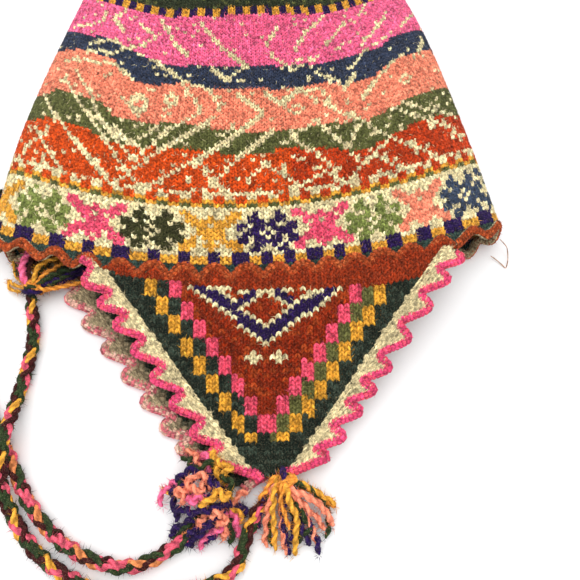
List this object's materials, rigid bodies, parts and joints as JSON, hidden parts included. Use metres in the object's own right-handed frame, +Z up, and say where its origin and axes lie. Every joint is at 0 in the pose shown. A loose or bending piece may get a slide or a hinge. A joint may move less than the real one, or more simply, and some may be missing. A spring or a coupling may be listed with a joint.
{
  "type": "knitted ear-flap hat",
  "caption": "Hand-knitted wool chullo with patterned bands, scalloped welts, ear flaps, tassels and plaited tie cords, lying flat.",
  "frame": {"origin": "on the surface the hat lies on, under the middle of the hat's box without its tie cords", "axes": "+Y up the hat from the flaps to the crown's tip, +X to the right across the hat, +Z up from the surface"},
  "size_m": [0.2307, 0.3471, 0.0362],
  "materials": {
    "knit": "matte",
    "rust_welt": "matte",
    "flap_knit": "matte",
    "pink_welt": "matte",
    "yarn": "matte",
    "plait": "matte"
  },
  "bodies": {
    "root": {"crown": "knit", "rim_edging": "rust_welt", "ear_flap_near": "flap_knit", "ear_flap_far": "flap_knit", "flap_edging_near": "pink_welt", "flap_edging_far": "pink_welt", "flap_tassel_near": "yarn", "flap_tassel_far": "yarn", "cord_tassel_near": "yarn", "cord_tassel_far": "yarn", "tie_cord_near": "plait", "tie_cord_far": "plait"}
  },
  "joints": []
}
